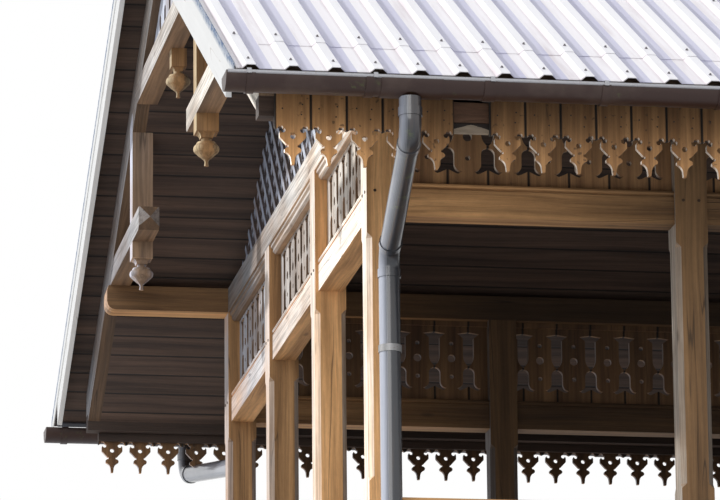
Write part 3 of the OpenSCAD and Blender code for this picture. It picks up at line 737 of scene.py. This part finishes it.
class VerandaTimbers(bpy.types.PropertyGroup):
    """Colours of the timbers."""

    frame_dark: tint("Frame, dark", "Beams, between streaks", (0.19, 0.094, 0.035))
    frame_light: tint("Frame, light", "Beams, along streaks", (0.46, 0.25, 0.104))
    fret_dark: tint("Fretwork, dark", "Eave boards, between streaks", (0.16, 0.074, 0.025))
    fret_light: tint("Fretwork, light", "Eave boards, along streaks", (0.36, 0.19, 0.076))
    post_dark: tint("Posts, dark", "Posts, between streaks", (0.22, 0.112, 0.042))
    post_light: tint("Posts, light", "Posts, along streaks", (0.54, 0.3, 0.128))
    truss_dark: tint("Truss, dark", "Timbers of the gable truss", (0.1, 0.053, 0.024))
    truss_light: tint("Truss, light", "Timbers of the gable truss", (0.27, 0.15, 0.068))
    frieze_dark: tint("Frieze, dark", "Frieze boards and laths", (0.12, 0.058, 0.025))
    frieze_light: tint("Frieze, light", "Frieze boards and laths", (0.29, 0.158, 0.068))
    soffit_dark: tint("Soffit, dark", "Boards under the roof", (0.028, 0.017, 0.013))
    soffit_light: tint("Soffit, light", "Boards under the roof", (0.093, 0.057, 0.04))
    soffit_grey: tint("Soffit, greyed", "Boards under the roof, where they are grey", (0.2, 0.18, 0.17))
    deck_dark: tint("Deck, dark", "Deck boards and hidden timbers", (0.11, 0.075, 0.05))
    deck_light: tint("Deck, light", "Deck boards and hidden timbers", (0.3, 0.21, 0.14))
    silver: tint("Silvered wood", "Wood greyed by the sun", (0.68, 0.625, 0.555))
    lattice: tint("Lattice", "Laths of the gables, where they are grey", (0.74, 0.76, 0.82))
    peg: tint("Pegs", "End grain of the pegs", (0.07, 0.04, 0.022))


class VerandaSheets(bpy.types.PropertyGroup):
    """Colours of the metal, the white paint and the stone."""

    sheet_pan: tint("Sheet, between ribs", "Flat parts of the roof sheet", (0.96, 0.92, 0.93))
    sheet_crest: tint("Sheet, crests", "Chalky crests of the ribs", (0.97, 0.95, 0.96))
    sheet_stain: tint("Sheet, stains", "Dirt and water stains", (0.5, 0.4, 0.42))
    # A painted shadow on one side of each rib, not dust.
    sheet_shadow: tint("Sheet, lee of ribs", "Dust that stays on one side of the ribs", (0.52, 0.52, 0.7))
    gutter: tint("Gutter", "Coated metal of the gutters", (0.03, 0.011, 0.007))
    pipe: tint("Downpipe", "Coated metal of the downpipes", (0.022, 0.024, 0.03))
    # A painted reflection on the downpipes, not fading by the sun.
    reflection: tint("Downpipe, faded", "Side of the downpipes that the sun fades", (0.54, 0.57, 0.66))
    apron: tint("Eave apron", "Coated metal of the eave aprons", (0.05, 0.055, 0.07))
    dust_and_painted_light: tint("Dust", "Dust on the coated metal", (0.09, 0.06, 0.046))
    clamp: tint("Pipe clamp", "Steel of the pipe clamps", (0.3, 0.3, 0.3))
    # Pale worn metal, on the rims partly a painted highlight.
    rim: tint("Gutter rim", "Worn metal of the gutters' rims and clips", (0.42, 0.42, 0.44))
    screw: tint("Roof screw", "Zinc of the roof screws", (0.2, 0.19, 0.2))
    nail: tint("Nail head", "Iron of the nails", (0.05, 0.04, 0.035))
    # Colour of the dark blue-grey band along the flashings' upper edge.
    flashing: tint("Flashing", "Bare metal of the verge flashings", (0.1, 0.15, 0.25))
    paint: tint("White paint", "Barge boards and flashings", (0.7, 0.695, 0.68))
    stone: tint("Stone", "Pad stones", (0.42, 0.4, 0.37))


class VerandaFixings(bpy.types.PropertyGroup):
    """Sizes of nails, screws, pegs and laps."""

    screw: length("Roof screw", "Radius of the washers of the roof screws", 0.0065)
    nail: length("Nail head", "Radius of the nail heads on the boards", 0.0036)
    peg: length("Peg", "Radius of the pegs at the posts", 0.0065)
    lap_up: length("End lap", "Distance of the sheets' end lap from the eave", 0.45)
    lath: length("Lath", "Width of the laths on the face of the lattices", 0.036)
    rim: length("Gutter rim", "Radius of the rolled rim of the gutters", 0.0075)


class VerandaLight(bpy.types.PropertyGroup):
    """Level of the lamps, and colour of the floor and the surroundings."""

    sky: FloatProperty(name="Surroundings", description="Light from all round", default=0.4, min=0)
    sky_tint: tint("Tint of surroundings", "Colour of the light from all round", (0.84, 0.89, 1.0))
    key: FloatProperty(name="Key lamp", description="Strength of the lamp on the left", default=2.6, min=0)
    fill: FloatProperty(name="Fill lamp", description="Strength of the lamp in front", default=1.2, min=0)
    floor: tint("Floor", "Colour of the floor", (0.76, 0.76, 0.75))


class VERANDA_OT_camera(bpy.types.Operator):
    """Add the camera low down and far off, to the left of the veranda"""

    bl_idname = "veranda.camera"
    bl_label = "Camera"
    place = (-6.236, -23.038, 0.119)
    angles = (9.44, 13.89, -0.55)
    focal_pixels = 5165.8

    def execute(self, context):
        yaw, pitch, roll = (math.radians(angle) for angle in self.angles)
        turn = Matrix.Rotation(-yaw, 4, "Z") @ Matrix.Rotation(math.pi / 2 + pitch, 4, "X")
        turn = turn @ Matrix.Rotation(roll, 4, "Z")
        bpy.ops.object.camera_add(location=self.place, rotation=turn.to_euler())
        camera = context.active_object
        camera.data.sensor_width = SENSOR
        camera.data.lens = self.focal_pixels * SENSOR / PHOTO_WIDTH
        camera.data.clip_end = 1000
        context.scene.camera = camera
        return {"FINISHED"}


class VERANDA_OT_stage(bpy.types.Operator):
    """Add a plain pale floor, pale surroundings and soft lamps"""

    bl_idname = "veranda.stage"
    bl_label = "Floor and Light"

    def execute(self, context):
        light = context.scene.veranda_light
        context.scene.view_settings.view_transform = "Standard"
        self.add_floor(light.floor)
        context.scene.world = self.surroundings(light)
        self.add_lamp("key_lamp", light.key, 3, Vector((-0.78, 0.3, 0.55)))
        self.add_lamp("fill_lamp", light.fill, 40, Vector((-0.35, -0.9, 0.27)))
        return {"FINISHED"}

    def add_floor(self, base):
        floor = start("floor", "circle", radius=400, vertices=96, fill_type="NGON")
        finish = Finish("pale_floor")
        cloud = finish.noise(finish.place, 0.6, 3.0)
        colour = finish.shade(base, 0.98 + 0.03 * cloud)
        floor.data.materials.append(finish.surface(colour, 0.9))

    def surroundings(self, light):
        """Even light from all round, which is plain white where it is seen or mirrored."""
        world = bpy.data.worlds.new("pale_surroundings")
        nodes = Nodes(world)
        seen = nodes.node("ShaderNodeLightPath", {}, {}, "Is Camera Ray")
        path = seen.socket.node.outputs
        for ray in ("Is Glossy Ray", "Is Transmission Ray"):
            seen = seen.larger(Sum(nodes, path[ray]))
        lights = [((*light.sky_tint, 1), light.sky), ((1, 1, 1, 1), 1.0)]
        sky, white = (nodes.node("ShaderNodeBackground", {}, {"Color": colour, "Strength": strength})
                      for colour, strength in lights)
        mixed = nodes.node("ShaderNodeMixShader", {}, {0: seen, 1: sky, 2: white})
        nodes.end("ShaderNodeOutputWorld", mixed)
        return world

    def add_lamp(self, name, strength, softness, towards):
        """A sun lamp that stands in a direction; its softness is the angle it fills, in degrees."""
        bpy.ops.object.light_add(type="SUN", rotation=towards.to_track_quat("Z", "Y").to_euler())
        lamp = bpy.context.active_object
        lamp.name = name
        lamp.data.energy = strength
        lamp.data.angle = math.radians(softness)


class VERANDA_OT_timber(bpy.types.Operator):
    """Give every timber its finish"""

    bl_idname = "veranda.timber"
    bl_label = "Timber Finishes"

    def execute(self, context):
        self.cover_frame()
        self.cover_gables()
        self.cover_hidden()
        self.cover_boards()
        return {"FINISHED"}

    def cover_frame(self):
        """Posts, beams and rails."""
        cover(timber("post_timber", "post", "z", sunned=0.85, weather_and_light=lit_corners),
              "upper_posts", "lower_posts")
        cover(timber("beam_timber", "frame", "x", sunned=0.5, inner_shade=0.72, weather_and_light=lit_corners),
              "side_sills", "side_ring_beams", "side_plates")
        cover(timber("rail_timber", "soffit", "x", "soffit_grey", weather_and_light=bare_gap), "eave_rails")
        cover(timber("wall_timber", "frame", "wall", sunned=0.95, weather_and_light=lit_corners),
              "upper_transoms", "lower_transoms", "upper_railings", "lower_railings")
        cover(timber("end_timber", "frame", "y", silver=0.25, sunned=0.85, weather_and_light=lit_end_half),
              "end_sills", "end_ring_beams", "tie_beams")

    def cover_gables(self):
        """Timbers of the gable trusses and the lattices in them."""
        cover(timber("truss_timber", "truss", "z", silver=0.1, sunned=0.9, inner_shade=0.45,
                     weather_and_light=warm_drops), "hammer_posts", "king_pendants")
        cover(timber("hammer_timber", "truss", "y", silver=0.05, sunned=0.95, cracks=1.3, inner_shade=0.45),
              "hammer_beams", "collars")
        cover(timber("rafter_timber", "truss", "slope", silver=0.1, sunned=0.95), "truss_rafters")
        cover(timber("lattice_timber", "frieze", "z", "lattice", silver=0.5, sunned=0.9),
              "gable_lattices")

    def cover_hidden(self):
        """Rafters, joists and battens, mostly out of sight."""
        cover(timber("hidden_timber", "deck", "slope", silver=0.05), "common_rafters")
        cover(timber("joist_timber", "deck", "y"), "upper_joists", "lower_joists")
        cover(timber("batten_timber", "deck", "x"), "roof_battens", "ridge_board")

    def cover_boards(self):
        """Decks, boards under the roof, eave boards and friezes."""
        cover(timber("deck_timber", "deck", "x", boards=(across_deck, DECK_BOARD, 0.14)),
              "upper_deck", "lower_deck")
        cover(timber("soffit_timber", "soffit", "x", "soffit_grey", (down_soffit, SLOPE_BOARD, 0.13),
                     sunned=0.1, cracks=0.4, inner_shade=0.0),
              "near_roof_boards", "far_roof_boards", "ceiling_boards")
        cover(timber("eave_timber", "fret", "z", boards=(along_eave, EAVE_PITCH, 0.1), sunned=0.9,
                     cracks=0.6, knots=0.15, inner_shade=0.75, weather_and_light=gutter_shade_and_dust),
              "near_eave_boards", "far_eave_boards")
        cover(timber("side_frieze_timber", "frieze", "z", boards=(along_side_bay, FRET_PITCH, 0.1),
                     sunned=0.7, cracks=0.6, knots=0.2, weather_and_light=shaded_top),
              "upper_side_friezes", "lower_side_friezes")
        cover(timber("end_frieze_timber", "frieze", "z", boards=(along_end_bay, FRET_PITCH, 0.1),
                     silver=0.1, sunned=0.8, weather_and_light=paler_end_half),
              "upper_end_friezes", "lower_end_friezes")


class VERANDA_OT_metal(bpy.types.Operator):
    """Give the roof sheet, gutters, pipes, flashings and barge boards their finish"""

    bl_idname = "veranda.metal"
    bl_label = "Metal Finishes"

    def execute(self, context):
        tints = context.scene.veranda_sheets
        cover(ribbed_sheet(tints), "near_roof_sheet", "far_roof_sheet", "ridge_cap")
        cover(coated_metal("gutter_coat", tints.gutter, tints.dust_and_painted_light), "gutters", "gutter_brackets")
        cover(coated_metal("pipe_coat", tints.pipe, tints.dust_and_painted_light, sheen=0.8, streaks=40, reflection=tints.reflection),
              "downpipes")
        cover(small_metal("clamp_steel", tints.clamp, 0.4, 0.7), "pipe_clamps")
        cover(zinc_flashing(tints.flashing, tints.paint), "verge_flashings")
        cover(barge_paint(tints.paint), "barge_boards")
        return {"FINISHED"}


class VERANDA_OT_pad_stones(bpy.types.Operator):
    """Replace the plain pad stones by worn ones"""

    bl_idname = "veranda.pad_stones"
    bl_label = "Pad Stones"
    clear = 0.006
    arris = 0.022

    def execute(self, context):
        low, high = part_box("pad_stones")
        width = 2 * (high.x - POST_X) - self.clear
        height = high.z - low.z
        stone = start("pad_stone", "cube", size=1)
        stone.scale = (width, width, height)
        settle(stone)
        pick(stone)
        bpy.ops.mesh.bevel(offset=self.arris, segments=3, affect="EDGES")
        bpy.ops.mesh.select_all(action="SELECT")
        bpy.ops.mesh.subdivide(number_cuts=3)
        bpy.ops.object.mode_set(mode="OBJECT")
        stations = [spot(x, y, height / 2, k) for k, (x, y) in enumerate(post_places())]
        stones = set_out("worn_pad_stones", stone, stations)
        self.chip(stones)
        complete(stones, rough_stone(context.scene.veranda_sheets.stone), "pad_stone", "pad_stones")
        return {"FINISHED"}

    def chip(self, stones):
        """Wears the faces, each stone otherwise than the next."""
        chips = bpy.data.textures.new("stone_chips", "CLOUDS")
        chips.noise_scale = 0.09
        chips.noise_depth = 3
        modify(stones, "DISPLACE", texture=chips, texture_coords="LOCAL", strength=0.012, mid_level=0.9)
        smooth(stones)


class VERANDA_OT_sheet_laps(bpy.types.Operator):
    """Add the upper sheets, which lap over the lower ones part of the way up each slope"""

    bl_idname = "veranda.sheet_laps"
    bl_label = "Sheet Laps"
    clear = 0.0012
    thick = 0.0015
    short_of_ridge = 0.1

    def execute(self, context):
        lap_up = context.scene.veranda_fixings.lap_up
        run = EAVE_Y / math.cos(PITCH) - self.short_of_ridge - lap_up
        lap = folded_strip("sheet_lap", self.rib_profile(), run)
        modify(lap, "ARRAY", count=RIBS - 1, use_relative_offset=False, use_constant_offset=True,
               constant_offset_displace=(RIB_PITCH, 0, 0), use_merge_vertices=True)
        modify(lap, "SOLIDIFY", thickness=self.thick, offset=1)
        pattern = on_near_slope(rib_places()[1], lap_up, 0)
        on_both_halves("upper_sheets", lap, [pattern], finish_of("near_roof_sheet"), "roof_sheet")
        return {"FINISHED"}

    def rib_profile(self):
        """One rib and half a pan on either side, just clear of the lower sheet."""
        pan, crest = SHEET + self.clear, RIB_HEIGHT + self.clear
        return [(-RIB_PITCH / 2, pan), (-RIB_FOOT, pan), (-RIB_CREST, crest), (RIB_CREST, crest),
                (RIB_FOOT, pan), (RIB_PITCH / 2, pan)]


class VERANDA_OT_roof_screws(bpy.types.Operator):
    """Add the screws and washers on the crests of the ribs"""

    bl_idname = "veranda.roof_screws"
    bl_label = "Roof Screws"
    lap_height = 0.0028

    def execute(self, context):
        sizes = context.scene.veranda_fixings
        screw = self.screw(sizes.screw)
        rows = (0.1, sizes.lap_up + 0.11, 1.62, 2.62, 3.6)
        stations = []
        for up in rows:
            above = RIB_HEIGHT + 0.001 + (self.lap_height if up > sizes.lap_up else 0)
            stations += [on_near_slope(x, up, above) for x in rib_places()]
        zinc = small_metal("dull_zinc", context.scene.veranda_sheets.screw, 0.45, 0.6)
        on_both_halves("roof_screws", screw, stations, zinc, "roof_sheet")
        return {"FINISHED"}

    def screw(self, radius):
        """A washer with a six-sided head on it."""
        washer = start("washer", "cylinder", radius=radius, depth=0.003, vertices=10)
        head = start("head", "cylinder", radius=0.62 * radius, depth=0.006, vertices=6,
                     location=(0, 0, 0.0035))
        return join("screw", [washer, head])


class VERANDA_OT_eave_aprons(bpy.types.Operator):
    """Add the dark drip aprons between the sheets and the gutters"""

    bl_idname = "veranda.eave_aprons"
    bl_label = "Eave Aprons"
    profile = ((0, 0), (0.045, 0), (0.052, -0.008), (0.052, -0.026))
    behind_edge = 0.082
    under_sheet = 0.004

    def execute(self, context):
        tints = context.scene.veranda_sheets
        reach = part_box("near_roof_boards")[1].x + 0.01
        apron = folded_strip("apron", self.profile, 2 * reach)
        modify(apron, "SOLIDIFY", thickness=0.0015, offset=0)
        pattern = spot(reach, self.behind_edge - EAVE_Y, EAVE_Z - self.under_sheet, 1)
        coat = coated_metal("apron_coat", tints.apron, tints.dust_and_painted_light)
        on_both_halves("eave_aprons", apron, [pattern], coat, "brown_metal")
        return {"FINISHED"}


class VERANDA_OT_gutter_rims(bpy.types.Operator):
    """Add the rolled rims of the gutters, the collars round them and the clips of their brackets"""

    bl_idname = "veranda.gutter_rims"
    bl_label = "Gutter Rims"
    collar_xs = (-3.42, -2.87, -2.67, -2.441, -1.976, -0.4, 1.1, 2.6)
    clip_xs = (-3.42, -2.911, -2.437, -1.972, -0.396, 1.104, 2.604)
    clip_profile = ((-0.012, -0.014), (-0.012, 0.004), (-0.007, 0.007), (0.03, 0.007))
    clip_width = 0.018

    def execute(self, context):
        # Pale worn metal; along the rims it is partly a painted highlight on the gutters' edge.
        worn = small_metal("worn_rim_and_highlight", context.scene.veranda_sheets.rim, 0.32, 0.5)
        low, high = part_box("gutters")
        self.add_rims(context.scene.veranda_fixings.rim, high, worn)
        self.add_collars(high, high.z - low.z)
        self.add_clips(high, worn)
        return {"FINISHED"}

    def add_rims(self, radius, high, metal):
        rim = tube("rim", radius, 2 * high.x - 0.01, 10)
        pattern = spot(0, 0.001 - high.y, high.z - 0.004)
        on_both_halves("gutter_rims", rim, [pattern], metal, "brown_metal", rounded=True)

    def add_collars(self, high, radius):
        """Half round collars, just larger than the gutters."""
        collar = tube("collar", radius + 0.0035, 0.03, 40)
        cut(collar, (0, 0, 0), (0, 0, 1), fill=False)
        stations = [spot(x, radius - high.y, high.z) for x in self.collar_xs]
        coat = finish_of("gutters")
        on_both_halves("gutter_collars", collar, stations, coat, "brown_metal", rounded=True)

    def add_clips(self, high, metal):
        clip = folded_strip("clip", self.clip_profile, self.clip_width)
        modify(clip, "SOLIDIFY", thickness=0.002, offset=1)
        stations = [spot(x, -high.y, high.z, 1) for x in self.clip_xs]
        on_both_halves("gutter_clips", clip, stations, metal, "brown_metal")


class VERANDA_OT_mouldings(bpy.types.Operator):
    """Add the moulded strips under the beams of the end walls, over the frieze boards"""

    bl_idname = "veranda.mouldings"
    bl_label = "Mouldings"
    profile = ((0.03, 0), (-0.026, 0), (-0.026, -0.014), (-0.016, -0.02), (-0.016, -0.034),
               (-0.004, -0.044), (0.03, -0.044))
    inset = 0.035
    end_gap = 0.002

    def execute(self, context):
        run = END_BAY - POST - 2 * self.end_gap
        strip = folded_strip("moulding", self.profile, run)
        stations = []
        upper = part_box("tie_beams")[0].z
        for level in (upper, upper - STOREY):
            for y in end_post_ys()[:-1]:
                stations.append(spot(self.inset - HALF_LEN, y + POST / 2 + self.end_gap, level - 0.0005))
        wood = finish_of("tie_beams")
        on_both_halves("frieze_mouldings", strip, stations, wood, "weathered_timber")
        return {"FINISHED"}


class VERANDA_OT_nails(bpy.types.Operator):
    """Add the nail heads of the eave boards"""

    bl_idname = "veranda.nails"
    bl_label = "Nails"
    heads = ((-0.036, -0.155), (0.034, -0.148), (0.03, -0.19))
    uneven = 0.006

    def execute(self, context):
        nail = start("nail", "uv_sphere", radius=context.scene.veranda_fixings.nail, segments=8,
                     ring_count=4)
        nail.scale = (1, 0.45, 1)
        settle(nail)
        stations = []
        for board in range(EAVE_BOARDS):
            for x, z in self.places(board):
                if board != MISSING_BOARD:
                    stations.append(spot(x, -EAVE_BOARD_FACE, z))
                stations.append(spot(x, EAVE_BOARD_FACE, z))
        nails = set_out("board_nails", nail, stations)
        iron = small_metal("dark_iron", context.scene.veranda_sheets.nail, 0.6, 0.5)
        complete(nails, iron, "fret_timber")
        return {"FINISHED"}

    def places(self, board):
        """Where the nails of a board sit, a little unevenly."""
        middle = EAVE_BOARD_X - 0.001 + (board + 0.5) * EAVE_PITCH
        for side, height in self.heads:
            stray = self.uneven * math.sin(5.1 * board + 40 * side)
            yield middle + side + stray, EAVE_BOARD_TOP + height + stray


class VERANDA_OT_pegs(bpy.types.Operator):
    """Add the pegs that hold the transoms in the posts"""

    bl_idname = "veranda.pegs"
    bl_label = "Pegs"
    over_transom_foot = 0.103
    off_middle = 0.034
    sunk = 0.002

    def execute(self, context):
        peg = start("peg", "cylinder", radius=context.scene.veranda_fixings.peg, depth=0.01, vertices=12,
                    rotation=(math.pi / 2, 0, 0))
        settle(peg)
        stations = []
        upper = TRANSOM_LOW + self.over_transom_foot
        for level in (upper, upper - STOREY):
            for off in (-self.off_middle, self.off_middle):
                stations += [spot(x + off, self.sunk - HALF_WID, level) for x in side_post_xs()]
                stations += [spot(self.sunk - HALF_LEN, y + off, level, -1) for y in end_post_ys()]
        wood = end_grain(context.scene.veranda_timbers.peg)
        on_both_halves("frame_pegs", peg, stations, wood, "front_timber")
        return {"FINISHED"}


class VERANDA_OT_laths(bpy.types.Operator):
    """Add the outer layer of laths on the gable lattices"""

    bl_idname = "veranda.laths"
    bl_label = "Lattice Laths"
    pitch = 0.113
    thick = 0.012
    rim = 0.03
    spare_laths = 8
    rafter_seat = 0.023

    def execute(self, context):
        half_run = HALF_WID - POST - self.rim
        lath = start("lath", "cube", size=1)
        lath.scale = (self.thick, 2 * half_run * math.sqrt(2), context.scene.veranda_fixings.lath)
        settle(lath)
        count = math.ceil(2 * half_run / self.pitch) + self.spare_laths
        tilt = spot(0, 0, PLATE_TOP) @ Matrix.Rotation(math.radians(45), 4, "X")
        stations = [tilt @ spot(0, 0, (k + 0.5) * self.pitch) for k in range(-count // 2, count // 2)]
        laths = set_out("laths", lath, stations)
        self.trim(laths, half_run)
        pattern = spot(-POST_X - self.thick / 2, 0, 0)
        wood = finish_of("gable_lattices")
        on_both_halves("lattice_laths", laths, [pattern], wood, "weathered_timber")
        return {"FINISHED"}

    def trim(self, laths, half_run):
        """Cuts the laths to the triangle between the plates and the rafters."""
        cut(laths, (0, 0, PLATE_TOP), (0, 0, -1), fill=True)
        apex = (0, 0, PLATE_TOP - self.rafter_seat + HALF_WID * math.tan(PITCH))
        for side in (1, -1):
            cut(laths, (0, side * half_run, 0), (0, side, 0), fill=True)
        for side in (1, -1):
            cut(laths, apex, (0, side * math.sin(PITCH), math.cos(PITCH)), fill=True)


OPERATORS = (VERANDA_OT_camera, VERANDA_OT_stage, VERANDA_OT_timber, VERANDA_OT_metal,
             VERANDA_OT_pad_stones, VERANDA_OT_sheet_laps, VERANDA_OT_roof_screws,
             VERANDA_OT_eave_aprons, VERANDA_OT_gutter_rims, VERANDA_OT_mouldings,
             VERANDA_OT_nails, VERANDA_OT_pegs, VERANDA_OT_laths)
GROUPS = {"veranda_timbers": VerandaTimbers, "veranda_sheets": VerandaSheets,
          "veranda_fixings": VerandaFixings, "veranda_light": VerandaLight}


class VERANDA_PT_sidebar(bpy.types.Panel):
    """List the steps that finish the veranda"""

    bl_label = "Timber Veranda"
    bl_idname = "VERANDA_PT_sidebar"
    bl_space_type = "VIEW_3D"
    bl_region_type = "UI"
    bl_category = "Veranda"

    def draw(self, context):
        for step in OPERATORS:
            self.layout.operator(step.bl_idname)


CLASSES = (*GROUPS.values(), *OPERATORS, VERANDA_PT_sidebar)


def register():
    for kind in CLASSES:
        bpy.utils.register_class(kind)
    for name, group in GROUPS.items():
        setattr(bpy.types.Scene, name, PointerProperty(type=group))


def unregister():
    for name in GROUPS:
        delattr(bpy.types.Scene, name)
    for kind in reversed(CLASSES):
        bpy.utils.unregister_class(kind)


def main():
    register()
    for step in OPERATORS:
        getattr(bpy.ops.veranda, step.bl_idname.split(".")[1])()


if __name__ == "__main__":
    main()
